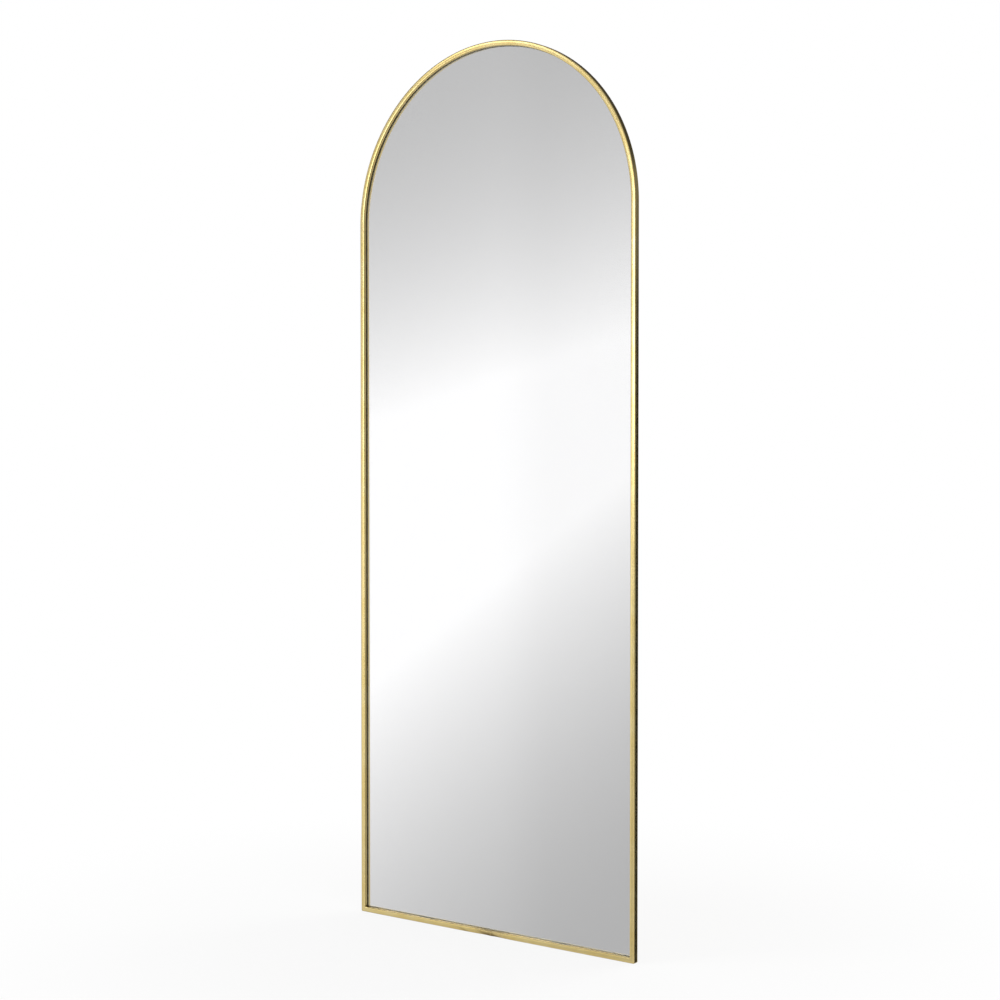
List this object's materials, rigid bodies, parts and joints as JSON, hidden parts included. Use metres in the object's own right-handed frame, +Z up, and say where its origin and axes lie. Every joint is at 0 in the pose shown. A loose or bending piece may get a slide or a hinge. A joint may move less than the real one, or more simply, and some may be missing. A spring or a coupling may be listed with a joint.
{
  "type": "arched floor mirror",
  "caption": "Tall arch-topped floor mirror in a slim gold-coloured tube frame, with a backed glass panel, rear tabs and swinging rings for hanging on a wall.",
  "frame": {"origin": "on the floor, midway across the width and midway between the frame's front face and the ends of the wall bumpers", "axes": "+Z up the height of the mirror, +X to the right seen from the front, the glass faces -Y"},
  "size_m": [0.65, 0.018, 1.6998],
  "materials": {
    "brass_plate": "satin brass plating on steel",
    "dressed_weld": "ground and plated weld",
    "clear_glass": "clear float glass, ground edges",
    "silvering": "mirror silver",
    "film": "woven-look safety film",
    "hardboard": "brown hardboard",
    "setting_plastic": "hard plastic shim",
    "sealant": "cured dark sealant",
    "foam_tape": "bonding tape",
    "zinc_plate": "bright zinc plating",
    "bumper_rubber": "soft moulded rubber"
  },
  "bodies": {
    "mirror": {"frame_tube": "brass_plate", "butt_weld": "dressed_weld", "mirror_glass": "clear_glass", "silver_coating": "silvering", "safety_film": "film", "backing_board": "hardboard", "setting_blocks": "setting_plastic", "edge_sealant": "sealant", "bonding_pads": "foam_tape", "tabs_left": "brass_plate", "tabs_right": "brass_plate", "tabs_arch": "brass_plate", "tabs_bottom": "brass_plate", "hanger_plate_left": "brass_plate", "hanger_plate_right": "brass_plate", "hanger_strap_left": "zinc_plate", "hanger_strap_right": "zinc_plate", "hanger_rivets": "zinc_plate", "bumpers_arch": "bumper_rubber", "bumpers_base": "bumper_rubber"},
    "ring_left": {"hanger_ring_left": "zinc_plate"},
    "ring_right": {"hanger_ring_right": "zinc_plate"}
  },
  "joints": [
    {"name": "ring_left_swing", "type": "hinge", "parent": "mirror", "child": "ring_left", "pos_m": [-0.294, 0.0063, 1.25], "axis": [1, 0, 0], "range_deg": [-4, 165]},
    {"name": "ring_right_swing", "type": "hinge", "parent": "mirror", "child": "ring_right", "pos_m": [0.294, 0.0063, 1.25], "axis": [1, 0, 0], "range_deg": [-4, 165]}
  ]
}
